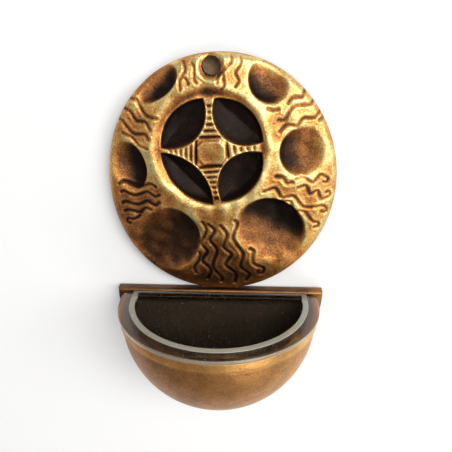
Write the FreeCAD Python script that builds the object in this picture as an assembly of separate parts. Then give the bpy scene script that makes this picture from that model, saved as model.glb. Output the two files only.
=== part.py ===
"""Holy water stoup: a cast bronze relief disc over a half-round bowl with a clear lift-out liner.

Millimetres. +X right, +Z up, the wall is the plane Y = 0 and the stoup stands out towards -Y.
The origin is the middle of the hanging hole, where it meets the wall.
"""
import FreeCAD, Part
import math
import os

from FreeCAD import Vector as V

# ---- driving dimensions -------------------------------------------------------------------
LEDGE_WIDTH = 74.0          # straight top edge of the back plate, the widest part of the lower half
LEDGE_Z = -77.6             # top of the ledge, below the hanging hole
PLATE_X = 2.5               # middle of the bowl, right of the hanging hole
PLATE_THICK = 4.4
PLATE_CENTRE_DROP = 1.0     # centre of the plate's round lower edge, below the ledge
LEDGE_ROUND = 0.6

DISC_X, DISC_Z = 3.4, -36.9     # where the disc is widest
DISC_HALF_WIDTH = 37.9
DISC_UP = 41.0              # from there to the disc's top
DISC_FULLNESS = 2.12        # the disc's left half is a little squarer than an ellipse, whose power is 2
DISC_SEAT_GAP = 0.1         # the disc stands on the ledge
DISC_EDGE_THICK = 4.6
DOME_RISE = 5.0             # how far the middle of the disc stands proud of its edge
DISC_EDGE_ROUND, DISC_BACK_ROUND = 2.0, 1.0
DISC_RIM = 6.0              # solid rim round the hollow in the disc's back
HOLE_RADIUS = 3.0

CUP_DEPTH_Y = -10.4         # vertical axis of the bowl's round front, out from the wall
CUP_CENTRE_DROP = 4.1       # centre of the bowl's sphere, below the ledge
BOWL_RADIUS = 33.8
BOWL_WALL = 2.0
BAND_RADIUS = 34.3          # plain band under the rim
BAND_HEIGHT = 3.1

FLANGE_DROP = 1.0           # liner flange, below the ledge
FLANGE_THICK = 1.4
FLANGE_RADIUS = 34.9
FLANGE_CORNER = 3.0
LINER_RADIUS = 30.4
LINER_WALL = 1.2
LINER_GAP = 0.5             # liner flange to back plate
REST_GAP = 0.15             # liner flange to bowl rim
LIFT_ANGLE = 12.0           # the liner's back wall leans this far, and it lifts out along it
BEAD_WIDTH = 1.9            # raised lip round the liner's mouth
BEAD_HEIGHT = 0.5

STRAP_WIDTH, STRAP_THICK, STRAP_LENGTH = 12.0, 1.8, 52.0
STRAP_CORNER = 2.0
STRAP_TOP = -51.6
BACK_RECESS = 2.0           # depth of the hollows in the backs of disc and plate
SIDE_GAP = 0.3              # strap to its slot

SCREW_RADIUS = 1.45         # M3 flat-head screws
SCREW_HEAD_RADIUS = 2.75
SCREW_HEAD_HEIGHT = 1.3
SCREW_CLEARANCE_RADIUS = 1.6
SCREW_THREAD_GAP = 0.05
SCREW_SINK = 0.1            # heads end this far inside the back
SLOT_WIDTH, SLOT_DEPTH = 0.8, 0.7
DISC_SCREW_LENGTH = 4.6
PLATE_SCREW_LENGTH = 4.2

# ---- places worked out from them ----------------------------------------------------------
CUP_Z = LEDGE_Z - CUP_CENTRE_DROP
FLANGE_TOP = LEDGE_Z - FLANGE_DROP
FLANGE_BOTTOM = FLANGE_TOP - FLANGE_THICK
RIM_Z = FLANGE_BOTTOM - REST_GAP
DOME_RADIUS = (DISC_HALF_WIDTH**2 + DOME_RISE**2) / (2 * DOME_RISE)
DISC_THICK = DISC_EDGE_THICK + DOME_RISE
DISC_DOWN = DISC_Z - LEDGE_Z - DISC_SEAT_GAP
LINER_BACK = -PLATE_THICK - LINER_GAP
LEAN = math.tan(math.radians(LIFT_ANGLE))
REACH = 200.0               # longer than anything here, for cutting blocks

DISC_SCREWS = [(PLATE_X, -56.6), (PLATE_X, -67.6)]
PLATE_SCREWS = [(PLATE_X, -83.6), (PLATE_X, -95.6)]
LUG_RING = 29.0             # bowl lugs, out from the bowl's centre
LUG_RADIUS = 3.0
LUG_LENGTH = 3.0
BOWL_SCREW_LENGTH = PLATE_THICK + LUG_LENGTH - 0.5
LUG_ANGLES = [-151.0, -90.0, -29.0]
BOWL_SCREWS = [(PLATE_X + LUG_RING * math.cos(math.radians(a)),
                CUP_Z + LUG_RING * math.sin(math.radians(a))) for a in LUG_ANGLES]


# ---- shared shapes ------------------------------------------------------------------------
def rod(x, z, radius, y_back, y_front):
    """Round bar along Y, from y_back out to y_front."""
    return Part.makeCylinder(radius, y_back - y_front, V(x, y_back, z), V(0, -1, 0))


def block(x0, x1, y0, y1, z0, z1):
    return Part.makeBox(x1 - x0, y1 - y0, z1 - z0, V(x0, y0, z0))


def flat_head_screw(x, z, length):
    """One slotted flat-head screw, put in from the back."""
    head_end = -SCREW_SINK - SCREW_HEAD_HEIGHT
    head = Part.makeCone(SCREW_HEAD_RADIUS, SCREW_RADIUS, SCREW_HEAD_HEIGHT,
                         V(x, -SCREW_SINK, z), V(0, -1, 0))
    shank = rod(x, z, SCREW_RADIUS, head_end, -SCREW_SINK - length)
    slot = block(x - REACH, x + REACH, -SCREW_SINK - SLOT_DEPTH, 0, z - SLOT_WIDTH / 2, z + SLOT_WIDTH / 2)
    return head.fuse(shank).removeSplitter().cut(slot)


def countersunk_hole(x, z, through):
    """Clearance hole from the back, with a seat for the screw's head."""
    seat = Part.makeCone(SCREW_HEAD_RADIUS + SCREW_SINK, SCREW_CLEARANCE_RADIUS,
                         SCREW_HEAD_HEIGHT + SCREW_SINK, V(x, 0, z), V(0, -1, 0))
    return seat.fuse(rod(x, z, SCREW_CLEARANCE_RADIUS, 0, -through))


def tapped_hole(x, z, y_back, y_front):
    return rod(x, z, SCREW_RADIUS + SCREW_THREAD_GAP, y_back, y_front)


def d_prism(radius, y_back, z_low, z_high, corner=0.0):
    """Plate with a straight back and a round front, as the bowl is seen from above."""
    left, right, straight = PLATE_X - radius, PLATE_X + radius, CUP_DEPTH_Y
    front = V(PLATE_X, straight - radius, z_low)
    edges = [Part.Arc(V(left, straight, z_low), front, V(right, straight, z_low)).toShape()]
    edges.append(Part.LineSegment(V(right, straight, z_low), V(right, y_back - corner, z_low)).toShape())
    if corner:
        turn = corner * math.sqrt(0.5)
        for side, x in ((-1, right - corner), (1, left + corner)):
            ends = [V(x - side * corner, y_back - corner, z_low), V(x, y_back, z_low)]
            middle = V(x - side * turn, y_back - corner + turn, z_low)
            edges.append(Part.Arc(ends[0], middle, ends[1]).toShape())
    edges.append(Part.LineSegment(V(right - corner, y_back, z_low), V(left + corner, y_back, z_low)).toShape())
    edges.append(Part.LineSegment(V(left, y_back - corner, z_low), V(left, straight, z_low)).toShape())
    face = Part.Face(Part.Wire(Part.__sortEdges__(edges)))
    return face.extrude(V(0, 0, z_high - z_low))


def cup_form(edges, y_back):
    """Turns a section right of the cup's axis round the front, and runs it straight to y_back."""
    face = Part.Face(Part.Wire(Part.__sortEdges__(edges)))
    form = face.revolve(V(PLATE_X, CUP_DEPTH_Y, 0), V(0, 0, 1), -180)
    run = V(0, y_back - CUP_DEPTH_Y, 0)
    for side in (face, face.mirror(V(PLATE_X, 0, 0), V(1, 0, 0))):
        form = form.fuse(side.extrude(run))
    return form.removeSplitter()


def at_cup(radius, z):
    """Point of a cup section, radius right of the cup's axis."""
    return V(PLATE_X + radius, CUP_DEPTH_Y, z)


def line(a, b):
    return Part.LineSegment(a, b).toShape()


def quarter(radius, top):
    """Arc of the cup's sphere from its lowest point up to the level top."""
    end = math.asin((top - CUP_Z) / radius)
    middle = (end - math.pi / 2) / 2
    points = [at_cup(radius * math.cos(a), CUP_Z + radius * math.sin(a)) for a in (-math.pi / 2, middle, end)]
    return Part.Arc(*points).toShape(), points[0], points[2]


def egg(inset, y):
    """Closed outline of the disc at depth y: an egg, widest above its middle, with a fuller left half."""
    points = []
    for number in range(72):
        angle = math.radians(5 * number)
        across, up = math.cos(angle), math.sin(angle)
        power = DISC_FULLNESS if across < 0 else 2.0
        reach = (abs(across) ** power + abs(up) ** power) ** (-1 / power)
        height = (DISC_UP if up > 0 else DISC_DOWN) - inset
        points.append(V(DISC_X + (DISC_HALF_WIDTH - inset) * across * reach, y, DISC_Z + height * up * reach))
    curve = Part.BSplineCurve()
    curve.interpolate(points, PeriodicFlag=True)
    return Part.Wire([curve.toShape()])


# ---- the relief on the disc ---------------------------------------------------------------
RING_X, RING_Z = -0.5, -24.9
RING_HALF_WIDTH, RING_HALF_HEIGHT = 18.7, 19.1      # where the ring's wall starts
RING_DEPTH, RING_SLOPE = 1.3, 2.3                   # depth and width of its sloping wall

CROSS_X, CROSS_Z = 0.2, -26.3
PETAL_DEPTH = 3.4
PETAL_ABOVE = 1.5           # the balls that shape a petal are centred this far above it
# from the cross's middle: a petal's two tips, and how far its near and far edges bulge from tip to tip
PETALS = {
    "upper_right": ((0.7, 16.8), (16.3, 3.7), 7.3, 4.6),
    "lower_right": ((16.1, 0.2), (3.1, -16.1), 7.0, 5.2),
    "lower_left": ((0.4, -17.1), (-16.6, -0.2), 4.9, 4.6),
    "upper_left": ((-16.4, 1.1), (-2.8, 16.8), 6.6, 4.4),
}
BLOCK_HALF, BLOCK_CHAMFER, BLOCK_RISE = (4.5, 3.7), 1.8, 0.7
BLOCK_TURN = 3.0            # the middle block is cut a little askew

# thumb-shaped hollows: place, half length, half width, turn of the long side, way to the lowest place, depth
HOLLOWS = {
    "upper_left": (-17.6, -5.3, 8.4, 4.9, 37.0, -25.0, 2.5),
    "upper_right": (17.7, -4.4, 7.1, 6.1, -55.0, -140.0, 2.9),
    "right": (29.1, -26.0, 8.0, 7.4, 90.0, 185.0, 3.0),
    "left": (-27.1, -31.4, 8.6, 5.9, 104.0, 10.0, 2.6),
    "lower_right": (19.8, -52.6, 12.6, 10.9, -40.0, 65.0, 3.5),
    "lower_left": (-14.6, -57.0, 12.2, 10.7, 75.0, 20.0, 3.3),
}
HOLLOW_SINK = 0.4           # share of a hollow's ball, from its middle down, that lies under the surface
HOLLOW_LEAN = 0.34          # how far off its middle a hollow is lowest, as a share of its size


def dome_y(x, z):
    """Front of the plain dome at a place on the disc."""
    across = (x - DISC_X) ** 2 + (z - DISC_Z) ** 2
    return DOME_RADIUS - DISC_THICK - math.sqrt(DOME_RADIUS**2 - across)


def on_dome(shape, x, z, deeper=0.0):
    """Sets a form made at the origin, outside towards -Y, square on the dome at a place."""
    y = dome_y(x, z)
    out = V(x - DISC_X, y - DOME_RADIUS + DISC_THICK, z - DISC_Z) * (1 / DOME_RADIUS)
    shape = shape.copy()
    shape.Placement = FreeCAD.Placement(V(x, y, z) - out * deeper, FreeCAD.Rotation(V(0, -1, 0), out))
    return shape


def stretched(shape, x, y, z):
    matrix = FreeCAD.Matrix()
    matrix.scale(x, y, z)
    return shape.transformGeometry(matrix)


def askew(shape, degrees):
    """Turned in the disc's own plane, from right towards up."""
    matrix = FreeCAD.Matrix()
    matrix.rotateY(-math.radians(degrees))
    return shape.transformGeometry(matrix)


def hollow(x, z, half_length, half_width, turn, lowest, depth):
    """Leaning ellipsoid that dents the dome, deepest towards one side."""
    sag = half_length * half_width / (2 * DOME_RADIUS)
    below = depth - 0.9 * sag
    ball = Part.makeSphere(1.0)
    ball.translate(V(0, (HOLLOW_SINK - 1), 0))
    spread = 1 / math.sqrt(1 - (1 - HOLLOW_SINK) ** 2)
    ball = stretched(ball, spread * half_length, below / HOLLOW_SINK, spread * half_width)
    shear = FreeCAD.Matrix()
    shear.A12 = HOLLOW_LEAN * half_length * math.cos(math.radians(lowest - turn)) / below
    shear.A32 = HOLLOW_LEAN * half_width * math.sin(math.radians(lowest - turn)) / below
    ball = askew(ball.transformGeometry(shear), turn)
    return on_dome(ball, x, z, sag)


def petal(tip, end, near, far):
    """Pointed hollow beside the cross: what two balls have in common, so its floor is a soft V."""
    across, up = end[0] - tip[0], end[1] - tip[1]
    half = math.hypot(across, up) / 2
    out = V(-up, 0, across) * (0.5 / half)
    balls = []
    for bulge, side in ((near, 1), (far, -1)):
        flat = (half**2 + bulge**2) / (2 * bulge)
        place = out * side * (flat - bulge) - V(0, PETAL_ABOVE, 0)
        balls.append(Part.makeSphere(math.hypot(flat, PETAL_ABOVE), place))
    deepest = math.hypot(half, PETAL_ABOVE) - PETAL_ABOVE
    cutter = stretched(balls[0].common(balls[1]), 1.0, PETAL_DEPTH / deepest, 1.0)
    x, z = CROSS_X + (tip[0] + end[0]) / 2, CROSS_Z + (tip[1] + end[1]) / 2
    return on_dome(cutter, x, z, RING_DEPTH + 0.15)


def ring_recess():
    """Round recess with a sloping wall; its floor follows the dome."""
    sag = RING_HALF_WIDTH**2 / (2 * DOME_RADIUS)
    fall = RING_SLOPE / RING_DEPTH
    over, under = 1.5, sag + RING_DEPTH + 0.4
    wall = Part.makeCone(1.0 + (over + sag) * fall / RING_HALF_WIDTH,
                         1.0 - (under - sag) * fall / RING_HALF_WIDTH, over + under, V(0, -over, 0), V(0, 1, 0))
    cutter = on_dome(stretched(wall, RING_HALF_WIDTH, 1.0, RING_HALF_HEIGHT), RING_X, RING_Z)
    floor = Part.makeSphere(DOME_RADIUS, V(DISC_X, DOME_RADIUS - DISC_THICK + RING_DEPTH, DISC_Z))
    return cutter.cut(floor)


def middle_block():
    """Block with cut corners where the arms of the cross meet."""
    half_x, half_z = BLOCK_HALF
    near_x, near_z = half_x - BLOCK_CHAMFER, half_z - BLOCK_CHAMFER
    corners = [V(half_x, 0, near_z), V(near_x, 0, half_z), V(-near_x, 0, half_z), V(-half_x, 0, near_z),
               V(-half_x, 0, -near_z), V(-near_x, 0, -half_z), V(near_x, 0, -half_z), V(half_x, 0, -near_z)]
    block = Part.Face(Part.makePolygon(corners + corners[:1])).extrude(V(0, 3, 0))
    return on_dome(askew(block, BLOCK_TURN), CROSS_X, CROSS_Z, RING_DEPTH - BLOCK_RISE)


# ---- the pieces ---------------------------------------------------------------------------
def relief_disc():
    disc = Part.Face(egg(0, 0)).extrude(V(0, -DISC_THICK, 0))
    disc = disc.common(Part.makeSphere(DOME_RADIUS, V(DISC_X, DOME_RADIUS - DISC_THICK, DISC_Z)))
    front = [e for e in disc.Edges if e.BoundBox.YMax < -DISC_EDGE_THICK / 2]
    disc = disc.makeFillet(DISC_EDGE_ROUND, front)
    back = [e for e in disc.Edges if e.BoundBox.YMin > -0.01]
    disc = disc.makeFillet(DISC_BACK_ROUND, back)

    pocket = Part.Face(egg(DISC_RIM, 0)).extrude(V(0, -BACK_RECESS, 0))
    pocket = pocket.cut(rod(0, 0, HOLE_RADIUS + DISC_RIM / 2, 1, -DISC_THICK))
    slot_half = STRAP_WIDTH / 2 + SIDE_GAP
    notch = block(PLATE_X - slot_half, PLATE_X + slot_half, -BACK_RECESS, 0, LEDGE_Z, STRAP_TOP)
    disc = disc.cut(pocket).cut(notch)

    disc = disc.cut(ring_recess())
    for place in PETALS.values():
        disc = disc.cut(petal(*place))
    disc = disc.fuse(middle_block())
    for place in HOLLOWS.values():
        disc = disc.cut(hollow(*place))
    disc = disc.cut(rod(0, 0, HOLE_RADIUS, 1, -DISC_THICK - 1))
    for x, z in DISC_SCREWS:
        disc = disc.cut(tapped_hole(x, z, 0, -DISC_SCREW_LENGTH - SCREW_SINK - SCREW_THREAD_GAP))
    return disc


def back_plate():
    half = LEDGE_WIDTH / 2
    centre_z = LEDGE_Z - PLATE_CENTRE_DROP
    left, right = V(PLATE_X - half, 0, centre_z), V(PLATE_X + half, 0, centre_z)
    rise = V(0, 0, PLATE_CENTRE_DROP)
    outline = [Part.Arc(left, V(PLATE_X, 0, centre_z - half), right).toShape(),
               line(right, right + rise), line(right + rise, left + rise), line(left + rise, left)]
    plate = Part.Face(Part.Wire(outline)).extrude(V(0, -PLATE_THICK, 0))
    top_edges = [e for e in plate.Edges if e.BoundBox.ZMin > LEDGE_Z - 0.01 and e.BoundBox.XLength > half]
    plate = plate.makeFillet(LEDGE_ROUND, top_edges)

    slot_half = STRAP_WIDTH / 2 + SIDE_GAP
    foot = STRAP_TOP - STRAP_LENGTH - SIDE_GAP
    plate = plate.cut(block(PLATE_X - slot_half, PLATE_X + slot_half, -BACK_RECESS, 1, foot, LEDGE_Z + 1))
    for x, z in PLATE_SCREWS:
        plate = plate.cut(tapped_hole(x, z, 0, -PLATE_THICK - 1))
    for x, z in BOWL_SCREWS:
        plate = plate.cut(countersunk_hole(x, z, PLATE_THICK + 1))
    return plate


def bowl():
    inner_radius = BOWL_RADIUS - BOWL_WALL
    band_z = RIM_Z - BAND_HEIGHT
    outer_arc, low, band_in = quarter(BOWL_RADIUS, band_z)
    inner_arc, floor, equator = quarter(inner_radius, CUP_Z)
    band_low, rim_out = at_cup(BAND_RADIUS, band_z), at_cup(BAND_RADIUS, RIM_Z)
    rim_in = at_cup(inner_radius, RIM_Z)
    section = [outer_arc, line(band_in, band_low), line(band_low, rim_out), line(rim_out, rim_in),
               line(rim_in, equator), inner_arc, line(floor, low)]
    shell = cup_form(section, -PLATE_THICK)
    for x, z in BOWL_SCREWS:
        out = V(x - PLATE_X, 0, z - CUP_Z).normalize()
        lug = rod(x, z, LUG_RADIUS, -PLATE_THICK, -PLATE_THICK - LUG_LENGTH)
        foot = rod(x + out.x * LUG_RADIUS / 2, z + out.z * LUG_RADIUS / 2, LUG_RADIUS,
                   -PLATE_THICK, -PLATE_THICK - LUG_LENGTH)
        shell = shell.fuse(lug.fuse(foot))
    for x, z in BOWL_SCREWS:
        shell = shell.cut(tapped_hole(x, z, 0, -PLATE_THICK - LUG_LENGTH - 1))
    return shell.removeSplitter()


def behind_leaning_wall(y_top):
    """Everything behind a wall that meets the flange's top at y_top and leans forward below it."""
    foot_z = FLANGE_TOP - REACH
    corners = [V(-REACH, y_top, FLANGE_TOP), V(-REACH, y_top - REACH * LEAN, foot_z),
               V(-REACH, REACH, foot_z), V(-REACH, REACH, FLANGE_TOP)]
    return Part.Face(Part.makePolygon(corners + corners[:1])).extrude(V(2 * REACH, 0, 0))


def liner():
    def cup(radius, top, y_back):
        arc, low, equator = quarter(radius, CUP_Z)
        high, axis_top = at_cup(radius, top), at_cup(0, top)
        edges = [arc, line(equator, high), line(high, axis_top), line(axis_top, low)]
        return cup_form(edges, y_back).cut(behind_leaning_wall(y_back))

    bead_top = FLANGE_TOP + BEAD_HEIGHT
    mouth = LINER_RADIUS - LINER_WALL
    body = cup(LINER_RADIUS, FLANGE_TOP, LINER_BACK)
    body = body.fuse(d_prism(FLANGE_RADIUS, LINER_BACK, FLANGE_BOTTOM, FLANGE_TOP, FLANGE_CORNER))
    body = body.fuse(d_prism(mouth + BEAD_WIDTH, LINER_BACK, FLANGE_TOP, bead_top))
    inside = cup(mouth, FLANGE_TOP, LINER_BACK - LINER_WALL)
    inside = inside.fuse(d_prism(mouth, LINER_BACK - LINER_WALL, FLANGE_TOP, bead_top + 1))
    return body.cut(inside).removeSplitter()


def joining_strap():
    half = STRAP_WIDTH / 2
    strap = block(PLATE_X - half, PLATE_X + half, -SCREW_SINK - STRAP_THICK, -SCREW_SINK,
                  STRAP_TOP - STRAP_LENGTH, STRAP_TOP - SIDE_GAP)
    uprights = [e for e in strap.Edges if e.BoundBox.YLength > STRAP_THICK - 0.01]
    strap = strap.makeFillet(STRAP_CORNER, uprights)
    for x, z in DISC_SCREWS + PLATE_SCREWS:
        strap = strap.cut(countersunk_hole(x, z, BACK_RECESS + 1))
    return strap


def screws(places, length):
    return Part.makeCompound([flat_head_screw(x, z, length) for x, z in places])


PIECES = {
    "relief_disc": relief_disc,
    "back_plate": back_plate,
    "bowl": bowl,
    "liner": liner,
    "joining_strap": joining_strap,
    "disc_screws": lambda: screws(DISC_SCREWS, DISC_SCREW_LENGTH),
    "plate_screws": lambda: screws(PLATE_SCREWS, PLATE_SCREW_LENGTH),
    "bowl_screws": lambda: screws(BOWL_SCREWS, BOWL_SCREW_LENGTH),
}

os.makedirs("parts", exist_ok=True)
for name, make in PIECES.items():
    shape = make()
    shape.exportStep(f"parts/{name}.step")
    box = shape.BoundBox
    print(f"{name:14s} {len(shape.Solids)} solid(s), {shape.Volume / 1000:7.2f} cm3, valid {shape.isValid()}, "
          f"x {box.XMin:.1f}..{box.XMax:.1f} y {box.YMin:.1f}..{box.YMax:.1f} z {box.ZMin:.1f}..{box.ZMax:.1f}")
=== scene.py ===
# %% [markdown]
# # A holy water stoup in cast bronze
# A stoup hangs by a church or house door and holds a little holy water. This one has a domed relief disc
# with a ringed cross, thumb-shaped hollows and cut water lines, a straight ledge, a half-round bowl, and a
# clear plastic liner that lifts out for washing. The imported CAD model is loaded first, as a fixed frame:
# each looks piece is then built in the same place as its CAD node, and rides on the same body.

# %% Load the frame
import math

import bmesh
import bpy
import numpy as np
from mathutils import Matrix, Vector


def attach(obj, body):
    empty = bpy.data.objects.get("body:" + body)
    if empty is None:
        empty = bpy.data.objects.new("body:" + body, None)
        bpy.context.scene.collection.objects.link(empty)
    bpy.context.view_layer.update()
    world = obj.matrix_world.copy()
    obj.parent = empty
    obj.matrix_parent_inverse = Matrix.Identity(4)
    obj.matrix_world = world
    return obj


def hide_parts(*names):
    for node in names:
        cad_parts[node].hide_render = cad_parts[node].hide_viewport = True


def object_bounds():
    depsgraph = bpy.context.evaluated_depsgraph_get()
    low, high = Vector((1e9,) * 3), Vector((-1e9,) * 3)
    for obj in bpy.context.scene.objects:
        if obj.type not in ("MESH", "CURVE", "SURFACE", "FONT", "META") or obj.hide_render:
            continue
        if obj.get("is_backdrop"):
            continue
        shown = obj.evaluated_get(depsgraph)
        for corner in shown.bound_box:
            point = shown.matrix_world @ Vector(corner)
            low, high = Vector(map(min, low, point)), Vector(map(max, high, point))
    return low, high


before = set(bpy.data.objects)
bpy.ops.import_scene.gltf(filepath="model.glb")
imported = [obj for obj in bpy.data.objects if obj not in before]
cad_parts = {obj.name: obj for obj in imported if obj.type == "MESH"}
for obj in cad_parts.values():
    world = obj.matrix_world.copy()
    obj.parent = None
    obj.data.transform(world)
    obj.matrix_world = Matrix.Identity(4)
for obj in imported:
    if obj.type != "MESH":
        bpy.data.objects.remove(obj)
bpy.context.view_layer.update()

MM = 0.001

# %% [markdown]
# ## The view
# The camera looks slightly down on the stoup, from half an arm's length, so both the disc's face and the
# bowl's mouth show. Place, turn and lens are plain numbers, because a picture taken from the same spot is
# easier to compare than one that only looks similar.

# %% Camera
camera_data = bpy.data.cameras.new("view")
camera_data.lens = 41.416
camera_data.sensor_width = 36.0
camera_data.clip_start = 0.01
camera = bpy.data.objects.new("view", camera_data)
camera.location = (0.01081, -0.17013, 0.01314)
camera.rotation_euler = [math.radians(a) for a in (68.375, -0.121, 2.160)]
bpy.context.scene.collection.objects.link(camera)
bpy.context.scene.camera = camera
print("camera", [round(c, 4) for c in camera.location])

# %% [markdown]
# ## Helpers for materials
# Each finish is a small tree of nodes. One function adds a node, sets its values and links its inputs, so
# a material reads from top to bottom. Colours are written as hex values, the way a paint chart gives them,
# and turned to the linear numbers that the shader wants.


# %% Node and colour helpers
def linear(code):
    """sRGB hex to the linear colour a shader wants."""
    parts = [int(code[i:i + 2], 16) / 255 for i in (1, 3, 5)]
    return [p / 12.92 if p <= 0.04045 else ((p + 0.055) / 1.055) ** 2.4 for p in parts] + [1.0]


def add_node(tree, kind, sets=None, inputs=None):
    """Adds one node. sets are its own settings; inputs are values, or sockets to link from."""
    node = tree.nodes.new(kind)
    for name, value in (sets or {}).items():
        setattr(node, name, value)
    for name, value in (inputs or {}).items():
        if isinstance(value, bpy.types.NodeSocket):
            tree.links.new(value, node.inputs[name])
        else:
            node.inputs[name].default_value = value
    return node


def new_material(name):
    material = bpy.data.materials.new(name)
    material.use_nodes = True
    material.node_tree.nodes.clear()
    return material, material.node_tree


def ramp(tree, factor, stops):
    """Colour ramp with (place, hex) stops."""
    node = add_node(tree, "ShaderNodeValToRGB", {}, {"Fac": factor})
    elements = node.color_ramp.elements
    while len(elements) > 1:
        elements.remove(elements[-1])
    elements[0].position, elements[0].color = stops[0][0], linear(stops[0][1])
    for place, code in stops[1:]:
        elements.new(place).color = linear(code)
    return node.outputs["Color"]


def own_place(tree):
    """Object coordinates, so a pattern keeps its true size."""
    return add_node(tree, "ShaderNodeTexCoord").outputs["Object"]


def noise(tree, place, size_mm, detail=3.0, roughness=0.5):
    """Cloudy pattern from 0 to 1, whose largest patches are about size_mm across."""
    return add_node(tree, "ShaderNodeTexNoise", {}, {
        "Vector": place, "Scale": 1 / (size_mm * MM), "Detail": detail,
        "Roughness": roughness}).outputs["Fac"]


def remap(tree, value, to_min, to_max, from_min=0.0, from_max=1.0):
    """A value moved from one range to another, and held inside it."""
    return add_node(tree, "ShaderNodeMapRange", {}, {
        "Value": value, "From Min": from_min, "From Max": from_max,
        "To Min": to_min, "To Max": to_max}).outputs["Result"]


def maths(tree, operation, *values, clamp=False):
    """A sum or product. Each value is a number, or a socket to link from."""
    node = add_node(tree, "ShaderNodeMath", {"operation": operation, "use_clamp": clamp})
    for socket, value in zip(node.inputs, values):
        if isinstance(value, bpy.types.NodeSocket):
            tree.links.new(value, socket)
        else:
            socket.default_value = value
    return node.outputs[0]


def bump(tree, height, strength, distance_mm, normal=None):
    """Fine relief in the shading only, on top of normal where one is given."""
    inputs = {"Height": height, "Strength": strength, "Distance": distance_mm * MM}
    if normal:
        inputs["Normal"] = normal
    return add_node(tree, "ShaderNodeBump", {}, inputs).outputs["Normal"]


def cover(tree, surface):
    """Links the finished shader to the material's output."""
    add_node(tree, "ShaderNodeOutputMaterial", {}, {"Surface": surface})


# %% [markdown]
# ## Bronze
# Bronze is poured into sand, so its skin keeps a fine grain of about half a millimetre. The founder then
# darkens the whole piece with liver of sulphur and rubs the high places bright again. What the eye sees is
# metal whose colour follows the relief: near black where the polishing cloth can't reach, brown on the
# slopes, gold on the crests. So one point attribute, "rub_and_painted_light", says how well the cloth
# reached each place. On some pieces it also carries painted light and shade: lighter towards the right and
# upper right, darker at the lower left. A ramp turns it to colour, roughness and how metallic the skin is.


# %% Bronze material
BLOTCH_MM = 6.0             # size of the slow cloudy patches


def bronze(name, stops, rough, grain_mm=0.55, mottle=0.22):
    """Sand-cast bronze, patinated and rubbed, with the painted light and shade its attribute carries. rough
    is (dark skin, bright metal).
    """
    material, tree = new_material(name)
    place = own_place(tree)
    rub_and_painted_light = add_node(tree, "ShaderNodeAttribute", {"attribute_name": "rub_and_painted_light"}).outputs["Fac"]
    grain = noise(tree, place, grain_mm, 3.0, 0.6)
    blotch = noise(tree, place, BLOTCH_MM, 4.0, 0.65)
    speck = remap(tree, grain, -mottle / 2, mottle / 2, 0.3, 0.7)
    cloud = remap(tree, blotch, -mottle / 2, mottle / 2, 0.3, 0.7)
    level = maths(tree, "MULTIPLY_ADD", maths(tree, "ADD", speck, cloud), remap(tree, rub_and_painted_light, 0.25, 1.1), rub_and_painted_light,
                  clamp=True)
    skin = bump(tree, grain, 1.0, 0.14)
    shader = add_node(tree, "ShaderNodeBsdfPrincipled", {}, {
        "Base Color": ramp(tree, level, stops), "Roughness": remap(tree, level, *rough),
        "Metallic": remap(tree, level, 0.8, 1.0, 0.0, 0.4), "Normal": bump(tree, blotch, 0.5, 0.5, skin)})
    cover(tree, shader.outputs["BSDF"])
    return material


relief_finish = bronze("Sand-cast bronze, rubbed relief with painted light", [
    (0.0, "#1B120D"), (0.2, "#4B3221"), (0.40, "#8C5D3A"), (0.60, "#C98549"),
    (0.80, "#E0AF62"), (1.0, "#F4DC98")], (0.5, 0.42), mottle=0.42)
plate_finish = bronze("Cast bronze, brown patina with painted light", [
    (0.0, "#130D0A"), (0.3, "#44301F"), (0.55, "#8E6440"), (0.8, "#C08A4C"),
    (1.0, "#E6BC70")], (0.5, 0.32))
bowl_finish = bronze("Cast bronze, mottled patina with painted light", [
    (0.0, "#17120E"), (0.25, "#452D1C"), (0.45, "#9C6B42"), (0.65, "#CF9557"),
    (0.85, "#EDB768"), (1.0, "#FBDA98")], (0.5, 0.34), grain_mm=0.7, mottle=0.2)
print("bronzes", [m.name for m in (relief_finish, plate_finish, bowl_finish)])

# %% [markdown]
# ## Clear plastic, brass strip and zinc-plated steel
# The liner is moulded in clear styrene, a little clouded by years of water, so the dark bowl shows through
# and only its edges and lips catch the light. Its lip is made paler and less clear, and so is the outer edge
# of its flange, which is a painted highlight. The strap behind is rolled brass, brushed along its length,
# and the screws are zinc-plated steel with the faint blue-grey mottle of the plating bath. Their tips are
# coloured dark, so that the two which end flush in the back of the bowl don't show as bright dots.

# %% Plastic, brass and steel
clear_plastic, tree = new_material("Clear moulded styrene")
scratch_place = add_node(tree, "ShaderNodeMapping", {}, {
    "Vector": own_place(tree), "Scale": (1.0, 0.12, 1.0)})
scratches = noise(tree, scratch_place.outputs["Vector"], 0.8)
wear_and_highlight = add_node(tree, "ShaderNodeAttribute", {"attribute_name": "wear_and_highlight"}).outputs["Fac"]
plastic = add_node(tree, "ShaderNodeBsdfPrincipled", {}, {
    "Base Color": ramp(tree, wear_and_highlight, [(0.0, "#E2CCAE"), (0.4, "#A89E88"), (0.8, "#D2CCBA")]),
    "Roughness": remap(tree, scratches, 0.08, 0.3, 0.45, 0.75), "IOR": 1.49,
    "Transmission Weight": remap(tree, wear_and_highlight, 1.0, 0.3), "Normal": bump(tree, scratches, 0.15, 0.05)})
cover(tree, plastic.outputs["BSDF"])

brass, tree = new_material("Rolled brass, dull")
place = own_place(tree)
lengthwise = add_node(tree, "ShaderNodeMapping", {}, {"Vector": place, "Scale": (1.0, 1.0, 0.05)})
brushed = noise(tree, lengthwise.outputs["Vector"], 0.3, 4.0)
strip = add_node(tree, "ShaderNodeBsdfPrincipled", {}, {
    "Base Color": ramp(tree, noise(tree, place, 5, 4.0), [
        (0.35, "#7E6430"), (0.6, "#B9994F"), (0.75, "#C9AC62")]),
    "Roughness": remap(tree, brushed, 0.28, 0.5), "Metallic": 1.0, "Normal": bump(tree, brushed, 0.4, 0.05)})
cover(tree, strip.outputs["BSDF"])

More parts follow.
